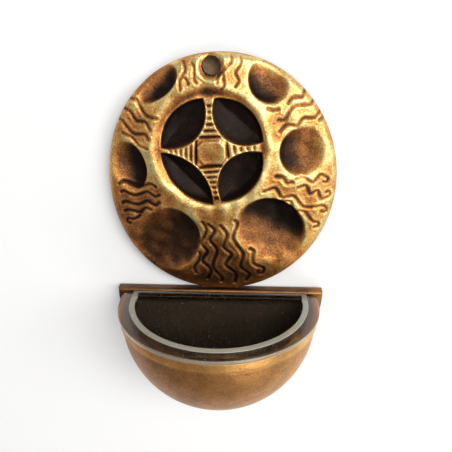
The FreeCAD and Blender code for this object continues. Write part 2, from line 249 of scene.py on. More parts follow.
zinc, tree = new_material("Zinc-plated steel")
place = own_place(tree)
bath = noise(tree, place, 0.7)
depth = add_node(tree, "ShaderNodeSeparateXYZ", {}, {"Vector": place}).outputs["Y"]
bare = remap(tree, depth, 0.0, 1.0, -3.9 * MM, -3.7 * MM)      # 0 on the dark tips, 1 on the plating
dark_tipped = add_node(tree, "ShaderNodeMix", {"data_type": "RGBA"}, {"Factor": bare})
dark_tipped.inputs[6].default_value = linear("#17100B")
tree.links.new(ramp(tree, bath, [(0.3, "#8E9193"), (0.7, "#C3C5C4")]), dark_tipped.inputs[7])
plated = add_node(tree, "ShaderNodeBsdfPrincipled", {}, {
    "Base Color": dark_tipped.outputs[2], "Roughness": remap(tree, bath, 0.25, 0.5),
    "Metallic": bare, "Normal": bump(tree, bath, 0.3, 0.04)})
cover(tree, plated.outputs["BSDF"])
print("materials", len(bpy.data.materials))

# %% [markdown]
# ## Helpers for the pieces
# Every piece is worked out in millimetres, in the CAD frame: x to the right, z up, the wall at y = 0 and
# the stoup standing out towards -y. When it is done it is scaled to metres, so its object stays at the
# origin, as the CAD nodes do. Holes and slots are cut with a Boolean, as a drill or a file would.

# %% Piece helpers
SMOOTH_ANGLE = math.radians(38)


def to_object(bm, name):
    """The finished bmesh as an object in metres, smooth where it is round and sharp at its corners."""
    bmesh.ops.scale(bm, vec=(MM, MM, MM), verts=bm.verts)
    bmesh.ops.recalc_face_normals(bm, faces=bm.faces)
    mesh = bpy.data.meshes.new(name)
    bm.to_mesh(mesh)
    bm.free()
    mesh.shade_smooth()
    mesh.set_sharp_from_angle(angle=SMOOTH_ANGLE)
    piece = bpy.data.objects.new(name, mesh)
    bpy.context.scene.collection.objects.link(piece)
    return piece


def carve(piece, cutter, operation="DIFFERENCE"):
    """Boolean with one cutter, kept in the mesh; the cutter is used up."""
    step = piece.modifiers.new("carve", "BOOLEAN")
    step.object, step.operation, step.solver = cutter, operation, "EXACT"
    graph = bpy.context.evaluated_depsgraph_get()
    done = bpy.data.meshes.new_from_object(piece.evaluated_get(graph), depsgraph=graph)
    piece.modifiers.clear()
    old, piece.data = piece.data, done
    done.name = piece.name
    bpy.data.meshes.remove(old)
    spare = cutter.data
    bpy.data.objects.remove(cutter)
    bpy.data.meshes.remove(spare)


def rod(x, z, radius, y_back, y_front, radius_front=None, segments=48):
    """Round bar along y, as an object; a cone where the two radii differ."""
    bm = bmesh.new()
    bmesh.ops.create_cone(bm, cap_ends=True, segments=segments, radius1=radius_front or radius,
                          radius2=radius, depth=y_back - y_front)
    bmesh.ops.rotate(bm, verts=bm.verts, cent=(0, 0, 0), matrix=Matrix.Rotation(-math.pi / 2, 3, "X"))
    bmesh.ops.translate(bm, verts=bm.verts, vec=(x, (y_back + y_front) / 2, z))
    return to_object(bm, "rod")


def block(low, high):
    """Box between two corners, as an object."""
    bm = bmesh.new()
    bmesh.ops.create_cube(bm, size=1.0)
    size = [h - l for l, h in zip(low, high)]
    bmesh.ops.scale(bm, vec=size, verts=bm.verts)
    bmesh.ops.translate(bm, verts=bm.verts, vec=[(l + h) / 2 for l, h in zip(low, high)])
    return to_object(bm, "block")


def only_verts(geom):
    return [g for g in geom if isinstance(g, bmesh.types.BMVert)]


def only_edges(geom):
    return [g for g in geom if isinstance(g, bmesh.types.BMEdge)]


def push_out(bm, way):
    """Moves a copy of all the faces along way and walls in between, so a flat face becomes a solid."""
    grown = bmesh.ops.extrude_face_region(bm, geom=bm.faces[:])["geom"]
    bmesh.ops.translate(bm, verts=only_verts(grown), vec=way)


def open_edges(mesh):
    """Edges that don't have exactly two faces; a closed piece has none."""
    uses = np.zeros(len(mesh.edges), int)
    edge_of_corner = np.zeros(len(mesh.loops), int)
    mesh.loops.foreach_get("edge_index", edge_of_corner)
    np.add.at(uses, edge_of_corner, 1)
    return int((uses != 2).sum())


def dress(piece, node, body, material):
    """Gives the piece its finish, and puts it in its CAD node's place."""
    piece.data.materials.clear()
    piece.data.materials.append(material)
    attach(piece, body)
    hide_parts(node)
    mesh = piece.data
    mesh.calc_loop_triangles()
    print(piece.name, "triangles", len(mesh.loop_triangles), "open edges", open_edges(mesh))


def coordinates(mesh):
    """All vertex places of a mesh, in millimetres."""
    flat = np.zeros(len(mesh.vertices) * 3, np.float32)
    mesh.vertices.foreach_get("co", flat)
    return flat.reshape(-1, 3).astype(float) / MM


def cut_across(mesh, planes):
    """Cuts the faces along planes, (point in mm, normal) each, so a share can vary across a large face."""
    bm = bmesh.new()
    bm.from_mesh(mesh)
    for point, normal in planes:
        bmesh.ops.bisect_plane(bm, geom=bm.verts[:] + bm.edges[:] + bm.faces[:], dist=1e-7,
                               plane_co=[c * MM for c in point], plane_no=normal)
    bmesh.ops.triangulate(bm, faces=[f for f in bm.faces if len(f.verts) > 3])
    bm.to_mesh(mesh)
    bm.free()
    mesh.set_sharp_from_angle(angle=SMOOTH_ANGLE)


def set_share(mesh, name, values):
    """One share from 0 to 1 for each vertex, kept as an attribute that the finish reads."""
    attribute = mesh.attributes.get(name) or mesh.attributes.new(name, "FLOAT", "POINT")
    attribute.data.foreach_set("value", np.clip(values, 0, 1).astype(np.float32))


# %% [markdown]
# ## The relief disc: its plain dome
# The disc is an egg, widest above its middle and a little fuller on the left. A square grid, bent so that
# its edge follows the egg, gives even little faces all over, where rings round a middle would crowd there.
# Then each vertex is moved out to its height, as a sculptor pushes clay; only heights are worked out here.

# %% Disc outline and dome
DISC_X, DISC_Z = 3.4, -36.9
HALF_WIDTH, HALF_UP, HALF_DOWN = 37.9, 41.0, 40.6
FULLNESS = 2.12             # power of the left half; an ellipse has 2
EDGE_THICK, DOME_RISE = 4.6, 5.0
EDGE_ROUND, BACK_ROUND = 2.0, 1.0
HOLE_RADIUS = 3.0
GRID = 292
DOME_RADIUS = (HALF_WIDTH**2 + DOME_RISE**2) / (2 * DOME_RISE)
MEAN_HALF = 39.5

disc_mesh = bmesh.new()
bmesh.ops.create_grid(disc_mesh, x_segments=GRID, y_segments=GRID, size=1.0)
square = np.array([v.co[:2] for v in disc_mesh.verts])
across = square[:, 0] * np.sqrt(1 - square[:, 1]**2 / 2)
upward = square[:, 1] * np.sqrt(1 - square[:, 0]**2 / 2)
reach = np.hypot(across, upward)
power = np.where(across < 0, FULLNESS, 2.0)
plain = np.maximum(reach, 1e-9)
fuller = ((np.abs(across) / plain)**power + (np.abs(upward) / plain)**power + 1e-12)**(-1 / power)
fuller[reach < 1e-9] = 1.0

# the last rows roll over the rounded edge: run is measured along the surface, inset straight in
run = (1 - reach) * (MEAN_HALF + (math.pi / 2 - 1) * EDGE_ROUND)
turn = np.clip(run / EDGE_ROUND, 0, math.pi / 2)
inset = np.where(run < EDGE_ROUND * math.pi / 2, EDGE_ROUND * (1 - np.cos(turn)),
                 run - EDGE_ROUND * (math.pi / 2 - 1))
roll_off = EDGE_ROUND * (1 - np.sin(turn))
stretch = (1 - inset / MEAN_HALF) / plain * fuller
x = DISC_X + HALF_WIDTH * across * stretch
z = DISC_Z + np.where(upward > 0, HALF_UP, HALF_DOWN) * upward * stretch
dome = EDGE_THICK + DOME_RISE - DOME_RADIUS + np.sqrt(
    DOME_RADIUS**2 - (x - DISC_X)**2 - (z - DISC_Z)**2)
print("disc grid", len(x), "points, dome", round(dome.min(), 2), "to", round(dome.max(), 2), "mm")

# %% [markdown]
# ## The relief: hollows, ring and petals
# All the large forms are sunk into the dome. A hollow is the print of a thumb pressed in at a slant: a
# leaning ball, deepest towards the cross, where its wall is steep, and running out gently on the other
# side. A petal is what two large balls have in common, so it is pointed and its floor is a soft V. A
# smooth "positive part" rounds every lip, as wax or clay would. The cross is what four petals leave
# standing inside the sunken ring.


# %% Large forms
def positive(value, softness):
    """max(value, 0) with a rounded corner."""
    return 0.5 * (value + np.sqrt(value * value + softness * softness))


def step(value):
    """Smooth step from 0 at 0 to 1 at 1."""
    t = np.clip(value, 0, 1)
    return t * t * (3 - 2 * t)


LIP = 0.3                   # softness of a hollow's lip
# place, half length, half width, turn of the long side, way to the lowest place, depth, darkness
HOLLOWS = {
    "upper left": (-17.6, -5.3, 8.4, 4.9, 37.0, -25.0, 2.5, 0.40),
    "upper right": (17.7, -4.4, 7.1, 6.1, -55.0, -140.0, 2.9, 0.34),
    "right": (29.1, -26.0, 8.0, 7.4, 90.0, 185.0, 3.0, 0.28),
    "left": (-27.1, -31.4, 8.6, 5.9, 104.0, 10.0, 2.6, 0.40),
    "lower right": (19.8, -52.6, 12.6, 10.9, -40.0, 65.0, 3.5, 0.50),
    "lower left": (-14.6, -57.0, 12.2, 10.7, 75.0, 20.0, 3.3, 0.16),
}
HOLLOW_SINK = 0.4           # share of a hollow's ball, from its middle down, that lies under the surface
HOLLOW_LEAN = 0.34          # how far off its middle a hollow is lowest, as a share of its size


def hollow_depth(px, pz, half_length, half_width, turn, lowest):
    """Share of a hollow's depth at each place, and how far towards its lowest side the place is."""
    c, s = math.cos(math.radians(turn)), math.sin(math.radians(turn))
    a = ((x - px) * c + (z - pz) * s) / half_length
    b = ((z - pz) * c - (x - px) * s) / half_width
    along = a * math.cos(math.radians(lowest - turn)) + b * math.sin(math.radians(lowest - turn))
    spread = 1 / (1 - (1 - HOLLOW_SINK)**2)
    square = HOLLOW_LEAN**2 + spread * HOLLOW_SINK**2
    half_linear = spread * HOLLOW_SINK * (1 - HOLLOW_SINK) - HOLLOW_LEAN * along
    beyond = a * a + b * b - 1
    root = np.sqrt(half_linear**2 - square * np.minimum(beyond, 0))
    return np.where(beyond < 0, (root - half_linear) / square, -beyond), along


sunk = np.zeros_like(x)
hollow_dark = np.zeros_like(x)
for *place, depth, darkness in HOLLOWS.values():
    share, towards_lowest = hollow_depth(*place)
    sunk += positive(depth * share, LIP)
    shade = 0.18 + 0.82 * step((towards_lowest + 0.15) / 0.7)
    hollow_dark = np.maximum(hollow_dark, darkness * shade * step((share + 0.05) / 0.45))

RING_X, RING_Z = -0.5, -24.9
RING_WIDE, RING_HIGH = 18.7, 19.1       # where the ring's wall starts
RING_DEPTH, RING_SLOPE = 1.3, 2.3       # depth and width of its sloping wall
ring_reach = np.hypot((x - RING_X) / RING_WIDE, (z - RING_Z) / RING_HIGH)
inside_ring = (1 - ring_reach) * (RING_WIDE + RING_HIGH) / 2
sunk += RING_DEPTH * step((inside_ring + 0.2) / (RING_SLOPE + 0.4))
ring_lip = 0.15 * np.exp(-((inside_ring + 0.9) / 0.8)**2)

CROSS_X, CROSS_Z = 0.2, -26.3
PETAL_DEPTH, PETAL_ABOVE = 3.4, 1.5     # the balls that shape a petal are centred this far above it
# from the cross's middle: a petal's two tips, and how far its near and far edges bulge from tip to tip
PETALS = {
    "upper right": ((0.7, 16.8), (16.3, 3.7), 7.3, 4.6),
    "lower right": ((16.1, 0.2), (3.1, -16.1), 7.0, 5.2),
    "lower left": ((0.4, -17.1), (-16.6, -0.2), 4.9, 4.6),
    "upper left": ((-16.4, 1.1), (-2.8, 16.8), 6.6, 4.4),
}
cx, cz = x - CROSS_X, z - CROSS_Z
petal_inside = np.full_like(x, -99.0)
petal_sunk = np.zeros_like(x)
for tip, end, near, far in PETALS.values():
    across, up = end[0] - tip[0], end[1] - tip[1]
    half = math.hypot(across, up) / 2
    from_x, from_z = cx - (tip[0] + end[0]) / 2, cz - (tip[1] + end[1]) / 2
    inside, below = [], []
    for bulge, side in ((near, 0.5 / half), (far, -0.5 / half)):
        flat = (half**2 + bulge**2) / (2 * bulge)
        aside = (flat - bulge) * side
        from_axis = np.hypot(from_x + aside * up, from_z - aside * across)
        inside.append(flat - from_axis)
        below.append(np.sqrt(np.maximum(flat**2 + PETAL_ABOVE**2 - from_axis**2, 0)) - PETAL_ABOVE)
    petal_inside = np.maximum(petal_inside, np.minimum(*inside))
    deepest = math.hypot(half, PETAL_ABOVE) - PETAL_ABOVE
    petal_sunk += PETAL_DEPTH * positive(np.minimum(*below) / deepest, 0.04)
print("hollows", len(HOLLOWS), "petal depth", round(petal_sunk.max(), 2), "mm")

# %% [markdown]
# ## The cross: ribs and middle
# The arms carry ribs, and the middle is a small block with cut corners that stands proud. Each slot between
# two ribs is a narrow dip across the arm that stops short of its rails, as a file would leave it in wax,
# and the block's distance to its own edge gives its bevel.

# %% Cross arms and middle block
BLOCK_HALF, BLOCK_CHAMFER, BLOCK_TURN = (4.5, 3.7), 1.8, math.radians(3.0)
BLOCK_RISE, BLOCK_BEVEL = 0.7, 0.7
past_x = np.abs(cx * math.cos(BLOCK_TURN) + cz * math.sin(BLOCK_TURN)) - BLOCK_HALF[0]
past_z = np.abs(cz * math.cos(BLOCK_TURN) - cx * math.sin(BLOCK_TURN)) - BLOCK_HALF[1]
across_corner = (past_x + past_z + BLOCK_CHAMFER) * math.sqrt(0.5)
block_gap = -np.maximum(np.maximum(past_x, past_z), across_corner)
block_rise = BLOCK_RISE * step((block_gap + 0.35) / BLOCK_BEVEL)

# way of the arm, start of its first slot, distance from slot to slot, number of slots
RIBS = {
    "up": (93.6, 5.0, 1.9, 6),
    "right": (7.0, 5.2, 2.1, 5),
    "down": (276.0, 4.6, 1.75, 7),
    "left": (179.0, 5.1, 1.65, 6),
}
RIB_DEPTH, RIB_HALF, RAIL = 0.6, 0.42, 0.1
between_rails = 1 - step((petal_inside + RAIL + 0.4) / 0.4)
ribs = np.zeros_like(x)
for way, start, pitch, number in RIBS.values():
    c, s = math.cos(math.radians(way)), math.sin(math.radians(way))
    along, aside = cx * c + cz * s, cz * c - cx * s
    nearest = start + pitch * np.clip(np.round((along - start) / pitch), 0, number - 1)
    ribs += np.exp(-((along - nearest) / RIB_HALF)**2) * (np.abs(aside) < 6) * between_rails
print("ribs", sum(place[-1] for place in RIBS.values()))

# %% [markdown]
# ## The water lines
# Groups of wavy strokes between the hollows are read here as flowing water. Each stroke is laid out by one
# rule: it runs from a start to an end, swings from side to side a number of times, and may curl over at
# its end. They are about a millimetre wide, as a round-nosed tool would cut them.

# %% Water lines
# start x, z, end x, z, number of swings, swing to each side, curl at the end (+1, -1 or 0), half width
STROKES = [
    (-8.6, 1.2, -9.4, -7.0, 2, 0.6, 0, 0.42), (-9.2, -3.0, -7.0, -5.2, 1, 0.4, 0, 0.38),
    (-6.2, 0.9, -4.5, -5.0, 2, 0.45, 0, 0.38), (4.6, 1.2, 2.0, -5.0, 2, 0.5, 0, 0.36),
    (6.0, 2.8, 2.9, -6.6, 3, 0.6, 0, 0.38), (8.6, 2.5, 7.6, -5.8, 3, 0.55, 0, 0.38),
    (29.4, -7.2, 23.8, -10.7, 2, 0.8, 0, 0.45), (31.8, -9.8, 21.0, -15.8, 3, 0.85, 0, 0.46),
    (34.4, -13.4, 21.6, -19.6, 4, 0.75, 0, 0.46), (21.0, -12.6, 17.6, -12.3, 1, 0.4, 0, 0.42),
    (35.4, -14.6, 34.2, -16.0, 1, 0.3, 0, 0.5),
    (21.0, -33.8, 26.2, -36.0, 2, 0.6, 0, 0.6), (27.4, -35.2, 37.6, -34.4, 3, 0.95, -1, 0.42),
    (28.4, -37.6, 38.6, -41.4, 4, 1.0, 1, 0.48), (17.4, -37.8, 37.9, -46.0, 5, 1.05, -1, 0.5),
    (23.4, -42.0, 35.4, -50.2, 4, 0.8, -1, 0.5),
    (-4.9, -61.6, -5.7, -69.8, 2, 0.6, 0, 0.45), (-3.4, -49.9, -1.6, -72.4, 5, 1.05, 0, 0.5),
    (-0.6, -50.6, 2.4, -73.6, 5, 1.05, 0, 0.5), (3.2, -50.9, 7.8, -74.0, 5, 1.1, 0, 0.5),
    (7.0, -49.2, 12.2, -73.0, 5, 1.05, 0, 0.5), (12.9, -60.0, 17.6, -69.6, 3, 0.9, -1, 0.5),
    (-31.0, -37.8, -18.4, -37.6, 3, 0.75, 0, 0.48), (-30.6, -40.6, -17.2, -40.8, 4, 0.6, 0, 0.44),
    (-30.2, -44.6, -17.2, -43.4, 4, 0.65, 0, 0.46), (-29.6, -47.4, -20.4, -46.0, 3, 0.6, 0, 0.44),
    (-24.6, -48.4, -28.0, -49.8, 1, 0.5, 1, 0.42),
    (-26.8, -9.7, -17.0, -15.6, 2, 1.0, 0, 0.48), (-29.0, -13.0, -19.2, -19.0, 3, 0.75, 0, 0.46),
    (-30.6, -16.6, -20.0, -22.4, 3, 0.75, 0, 0.46), (-28.6, -20.6, -20.6, -25.6, 2, 0.55, 0, 0.38),
]
STROKE_DEPTH = 0.75         # depth of a stroke, as a share of its half width
CURL_RADIUS, CURL_TURN = 0.9, 3.4


def stroke_path(x0, z0, x1, z1, swings, swing, curl):
    """Points along one wavy stroke. Its swings are a little uneven, as a hand cuts them."""
    t = np.linspace(0, 1, 12 * swings + 1)
    length = math.hypot(x1 - x0, z1 - z0)
    ax, az = (x1 - x0) / length, (z1 - z0) / length
    turns = math.pi * swings * (t + 0.05 * np.sin(6 * t + x0))
    side = swing * (np.sin(turns) - 0.04 * np.sin(3 * turns) + 0.3 * np.sin(turns / 2 + z0))
    forth = length * t
    path = np.stack([x0 + ax * forth - az * side, z0 + az * forth + ax * side], 1)
    if curl:
        heading = path[-1] - path[-2]
        heading = math.atan2(heading[1], heading[0])
        centre = path[-1] + CURL_RADIUS * np.array(
            [math.cos(heading + curl * math.pi / 2), math.sin(heading + curl * math.pi / 2)])
        turns = heading - curl * math.pi / 2 + curl * np.linspace(0.2, CURL_TURN, 10)
        path = np.concatenate([path, centre + CURL_RADIUS * np.stack([np.cos(turns), np.sin(turns)], 1)])
    return path


def distance_to_path(path, reach):
    """Distance from each grid point to a path, where it is nearer than reach."""
    low, high = path.min(0) - reach, path.max(0) + reach
    near = np.flatnonzero((x > low[0]) & (x < high[0]) & (z > low[1]) & (z < high[1]))
    p = np.stack([x[near], z[near]], 1)[:, None]
    a, d = path[:-1], np.diff(path, axis=0)
    t = np.clip(((p - a) * d).sum(2) / (d * d).sum(1), 0, 1)
    gap = np.full_like(x, 99.0)
    gap[near] = np.sqrt((((p - a) - t[..., None] * d)**2).sum(2)).min(1)
    return gap


strokes = np.zeros_like(x)
stroke_mark = np.zeros_like(x)
burr = np.zeros_like(x)
for *course, half in STROKES:
    gap = distance_to_path(stroke_path(*course), 3.0)
    mark = np.exp(-(gap / half)**2)
    stroke_mark = np.maximum(stroke_mark, np.exp(-(gap / (1.2 * half))**2))
    strokes = np.maximum(strokes, STROKE_DEPTH * half * mark)
    burr = np.maximum(burr, 0.26 * half * np.exp(-((gap - 2.0 * half) / 0.4)**2))
burr *= 1 - step(stroke_mark / 0.2)
print("strokes", len(STROKES))

# %% [markdown]
# ## Hand work, where the cloth reached, and painted light
# No cast surface is a perfect dome: a few slow waves, seeded so they are the same each time, take the
# machine look away. The finished height is then compared with its own blurred copies. What stands above
# its surroundings was rubbed bright, and what lies below stayed dark: that is the "rub_and_painted_light"
# attribute. On top of that comes painted light and shade: the upper right is made lighter and the lower left
# darker, as light from the upper right falls, and the ring's wall is darkest at its upper right, which is
# painted shade. The cloth never reached the petals.

# %% Final height and rub
draw = np.random.default_rng(7)
uneven = np.zeros_like(x)
for wavelength, size in [(24, 0.16)] * 4 + [(11, 0.07)] * 6 + [(5, 0.025)] * 8:
    angle, phase = draw.uniform(0, 2 * math.pi, 2)
    uneven += size * np.sin(2 * math.pi * (x * math.cos(angle) + z * math.sin(angle)) / wavelength + phase)
uneven *= step(inset / 6)

hole_gap = np.hypot(x, z) - HOLE_RADIUS
hole_mouth = 0.7 * np.exp(-(np.maximum(hole_gap, 0) / 0.7)**2)
hole_lip = 0.3 * np.exp(-((hole_gap - 1.6) / 0.6)**2)

fine = petal_sunk - block_rise + RIB_DEPTH * ribs + strokes - burr + hole_mouth - hole_lip
height = dome + uneven - sunk + ring_lip - fine - roll_off


def blurred(values, sigma_mm):
    """Gaussian blur over the grid, whose points are about a quarter of a millimetre apart."""
    spacing = 2 * MEAN_HALF / GRID
    reach = int(3 * sigma_mm / spacing)
    kernel = np.exp(-0.5 * (np.arange(-reach, reach + 1) * spacing / sigma_mm)**2)
    kernel /= kernel.sum()
    rows = np.pad(values.reshape(GRID + 1, GRID + 1), reach, mode="edge")
    rows = np.apply_along_axis(np.convolve, 1, rows, kernel, "valid")
    return np.apply_along_axis(np.convolve, 0, rows, kernel, "valid").ravel()


flat = height - dome
proud_fine = flat - blurred(flat, 0.7)
proud_mid = flat - blurred(flat, 2.2)
proud_wide = flat - blurred(flat, 7.0)
# painted light: a share that grows towards the upper right, where the lamp light falls
painted_light_side = 0.6 * (x - DISC_X) / HALF_WIDTH + 0.8 * (z - DISC_Z) / HALF_UP
rub_and_painted_light = 0.60 + 0.58 * proud_fine + 0.34 * proud_mid + 0.05 * proud_wide
ring_wall_patina_and_shade = step((inside_ring + 0.3) / 1.0) * (1 - step((inside_ring - 3.0) / 1.0))
# painted shade: the ring's wall is darkened most at its upper right, where it faces away from the light; the
# rest of its darkening is patina
ring_wall_patina_and_shade *= 0.55 + 0.45 * (0.6 * (x - RING_X) + 0.8 * (z - RING_Z)) / RING_WIDE
# painted light and shade: lighter towards the upper right, darker at the lower left; hollow_dark is the
# hollows' own patina
rub_and_painted_light += 0.14 * painted_light_side - np.maximum(0.15 * step((-painted_light_side - 0.3) / 0.45), hollow_dark)
rub_and_painted_light -= 0.50 * step((petal_inside + 0.3) / 0.8)
rub_and_painted_light -= 0.30 * ring_wall_patina_and_shade + 0.22 * stroke_mark + 0.26 * ribs + 0.10 * (block_gap > 0.2)
print("height", round(height.min(), 2), "to", round(height.max(), 2),
      "rub_and_painted_light", round(rub_and_painted_light.min(), 2), "to", round(rub_and_painted_light.max(), 2))

# %% [markdown]
# ## Closing the disc
# The edge of the grid is pulled straight back to the wall and closed with one face. A founder often leaves
# the back hollow to save metal, so this one gets a shallow pocket with a boss round the hanging hole and a
# notch for the strap. Those, the hanging hole and the two tapped holes are cut out.

# %% Disc body, pocket and holes
for vertex, px, py, pz in zip(disc_mesh.verts, x, height, z):
    vertex.co = (px, -py, pz)
edge_loop = [e for e in disc_mesh.edges if e.is_boundary]
for angle in (0.0, 30.0, 60.0, 90.0):
    pulled = bmesh.ops.extrude_edge_only(disc_mesh, edges=edge_loop)["geom"]
    edge_loop = only_edges(pulled)
    draw_in = BACK_ROUND * (1 - math.cos(math.radians(angle))) / MEAN_HALF
    earlier = BACK_ROUND * (1 - math.cos(math.radians(max(angle - 30, 0)))) / MEAN_HALF
    for vertex in only_verts(pulled):
        shrink = (1 - draw_in) / (1 - earlier)
        vertex.co = (DISC_X + (vertex.co.x - DISC_X) * shrink,
                     -BACK_ROUND * (1 - math.sin(math.radians(angle))),
                     DISC_Z + (vertex.co.z - DISC_Z) * shrink)
bmesh.ops.edgeloop_fill(disc_mesh, edges=edge_loop)
front_count = len(x)
relief_disc = to_object(disc_mesh, "relief_disc_cast")
values = np.full(len(relief_disc.data.vertices), 0.3)
values[:front_count] = rub_and_painted_light
set_share(relief_disc.data, "rub_and_painted_light", values)

BACK_RECESS, DISC_RIM, BOSS = 2.0, 6.0, 3.0
PLATE_X = 2.5
STRAP_HALF, STRAP_TOP, STRAP_END = 6.3, -51.6, -103.9     # the slot that the strap lies in
pocket_mesh = bmesh.new()
bmesh.ops.create_circle(pocket_mesh, cap_ends=True, segments=128, radius=1.0)
bmesh.ops.rotate(pocket_mesh, verts=pocket_mesh.verts, cent=(0, 0, 0),
                 matrix=Matrix.Rotation(math.pi / 2, 3, "X"))
for vertex in pocket_mesh.verts:
    half = (HALF_UP if vertex.co.z > 0 else HALF_DOWN) - DISC_RIM
    vertex.co = (DISC_X + (HALF_WIDTH - DISC_RIM) * vertex.co.x, 1.0, DISC_Z + half * vertex.co.z)
push_out(pocket_mesh, (0, -1.0 - BACK_RECESS, 0))
pocket = to_object(pocket_mesh, "pocket")
carve(pocket, rod(0, 0, HOLE_RADIUS + BOSS, 2, -12))
carve(relief_disc, pocket)
carve(relief_disc, block((PLATE_X - STRAP_HALF, -BACK_RECESS, -84), (PLATE_X + STRAP_HALF, 1, STRAP_TOP)))
carve(relief_disc, rod(0, 0, HOLE_RADIUS, 1, -15, segments=96))
TAPPED, DISC_TAP_END = 1.5, -4.75
DISC_TAPS, PLATE_TAPS = (-56.6, -67.6), (-83.6, -95.6)      # heights of the tapped holes
for tap_z in DISC_TAPS:
    carve(relief_disc, rod(PLATE_X, tap_z, TAPPED, 1, DISC_TAP_END))
RELIEF_SHARP = math.radians(60)         # the steep little strokes stay smooth
relief_disc.data.set_sharp_from_angle(angle=RELIEF_SHARP)
dress(relief_disc, "relief_disc", "stoup", relief_finish)

# %% [markdown]
# ## The back plate
# A flat cast plate: a straight ledge on top, which the disc stands on, and a round lower edge. It is an
# arc swept by spinning one vertex, closed with a face and pushed out to its thickness. Its front edges
# are rounded, and the polishing cloth has brightened them.

# %% Back plate
LEDGE_Z, PLATE_HALF, PLATE_DROP, PLATE_THICK = -77.6, 37.0, 1.0, 4.4
PLATE_ROUND = 0.9
ARC_STEPS = 96              # steps in every half turn


def spun_arc(bm, start, centre, axis, angle, steps):
    """Vertices of an arc, made by spinning one vertex."""
    first = bm.verts.new(start)
    bmesh.ops.spin(bm, geom=[first], cent=centre, axis=axis, angle=angle, steps=steps)


plate_mesh = bmesh.new()
spun_arc(plate_mesh, (PLATE_X + PLATE_HALF, 0, LEDGE_Z - PLATE_DROP), (PLATE_X, 0, LEDGE_Z - PLATE_DROP),
         (0, 1, 0), math.pi, ARC_STEPS)
ends = [v for v in plate_mesh.verts if abs(v.co.z - LEDGE_Z + PLATE_DROP) < 1e-4]
tops = [plate_mesh.verts.new((v.co.x, 0, LEDGE_Z)) for v in ends]
for low, top in zip(ends, tops):
    plate_mesh.edges.new((low, top))
plate_mesh.edges.new(tops)
bmesh.ops.edgeloop_fill(plate_mesh, edges=plate_mesh.edges[:])
push_out(plate_mesh, (0, -PLATE_THICK, 0))
bmesh.ops.recalc_face_normals(plate_mesh, faces=plate_mesh.faces)
front = [e for e in plate_mesh.edges if all(v.co.y < -PLATE_THICK + 0.01 for v in e.verts)]
top_back = [e for e in plate_mesh.edges if all(v.co.y > -0.01 and v.co.z > LEDGE_Z - 0.01 for v in e.verts)]
bmesh.ops.bevel(plate_mesh, geom=front + top_back, offset=PLATE_ROUND, offset_type="OFFSET", segments=4,
                profile=0.5, affect="EDGES", material=-1)
print("plate corners", len(plate_mesh.verts))
back_plate = to_object(plate_mesh, "back_plate_cast")
carve(back_plate, block((PLATE_X - STRAP_HALF, -BACK_RECESS, STRAP_END), (PLATE_X + STRAP_HALF, 1, -70)))
for tap_z in PLATE_TAPS:
    carve(back_plate, rod(PLATE_X, tap_z, TAPPED, 1, -6))
CUP_Z, LUG_RING = -81.7, 29.0
LUGS = [(PLATE_X + LUG_RING * math.cos(math.radians(a)), CUP_Z + LUG_RING * math.sin(math.radians(a)))
        for a in (-151, -90, -29)]
SINK_RADIUS, SCREW_HOLE = 3.3, 1.6      # a countersink where it meets the back, and its through hole
for lug_x, lug_z in LUGS:
    carve(back_plate, rod(lug_x, lug_z, SINK_RADIUS, 0.5, -1.4, SCREW_HOLE))
    carve(back_plate, rod(lug_x, lug_z, SCREW_HOLE, 1, -6))
upright = [((PLATE_X + 3.1 * step_no, 0, 0), (1, 0, 0)) for step_no in range(-11, 12)]
level = [((0, 0, LEDGE_Z - 0.9 - drop), (0, 0, 1)) for drop in (0.1, 0.8, *range(3, 37, 3))]
cut_across(back_plate.data, upright + level)
place = coordinates(back_plate.data)
edge = step((-place[:, 1] - PLATE_THICK + 1.0) / 0.8) * step((place[:, 2] - LEDGE_Z + 1.2) / 0.8)
from_cup = np.hypot(place[:, 0] - PLATE_X, place[:, 2] - CUP_Z)
in_cup = step((33.0 - from_cup) / 0.8) * (place[:, 2] < -78.4) * (place[:, 1] < -1)
# painted light: the plate is made lighter towards its right end, which faces the light
set_share(back_plate.data, "rub_and_painted_light", 0.38 + 0.2 * edge + 0.25 * step((place[:, 0] - 33) / 6)
          - 0.3 * (place[:, 1] > -0.05) - 0.18 * in_cup)
dress(back_plate, "back_plate", "stoup", plate_finish)

# %% [markdown]
# ## The bowl
# Half a hollow ball with a short straight run back to the plate and a plain band under its rim. A section
# through its wall is spun half a turn about the upright axis, which is how a potter or a lathe would
# make it; the two cut ends are pulled back to the plate. Three lugs inside take the screws.

# %% Bowl
CUP_Y = -10.4
BOWL_OUT, BOWL_WALL, BAND_OUT, BAND_HIGH, RIM_Z = 33.8, 2.0, 34.3, 3.1, -80.15
BOWL_IN = BOWL_OUT - BOWL_WALL
RIM_SOFT = 0.35             # rounding of the rim and the band
CUP_CENTRE = (PLATE_X, CUP_Y, CUP_Z)


def half_round(bm, y_back):
    """Spins the section in bm half a turn round the cup's axis, and runs its ends straight back."""
    bmesh.ops.spin(bm, geom=bm.verts[:] + bm.edges[:], cent=(PLATE_X, CUP_Y, 0), axis=(0, 0, 1),
                   angle=-math.pi, steps=ARC_STEPS)
    bmesh.ops.remove_doubles(bm, verts=bm.verts, dist=1e-4)
    ends = [e for e in bm.edges if e.is_boundary and all(abs(v.co.y - CUP_Y) < 1e-3 for v in e.verts)]
    moved = bmesh.ops.extrude_edge_only(bm, edges=ends)["geom"]
    bmesh.ops.translate(bm, verts=only_verts(moved), vec=(0, y_back - CUP_Y, 0))
    bmesh.ops.remove_doubles(bm, verts=bm.verts, dist=1e-4)


def close_back(bm, y_back):
    """One face over the open back edge."""
    loop = [e for e in bm.edges if e.is_boundary and all(abs(v.co.y - y_back) < 1e-3 for v in e.verts)]
    bmesh.ops.triangle_fill(bm, edges=loop, use_beauty=True, use_dissolve=False)


def chain(bm, places):
    """A few section points joined in a row: (radius, z) each."""
    row = [bm.verts.new((PLATE_X + r, CUP_Y, z)) for r, z in places]
    for a, b in zip(row, row[1:]):
        bm.edges.new((a, b))


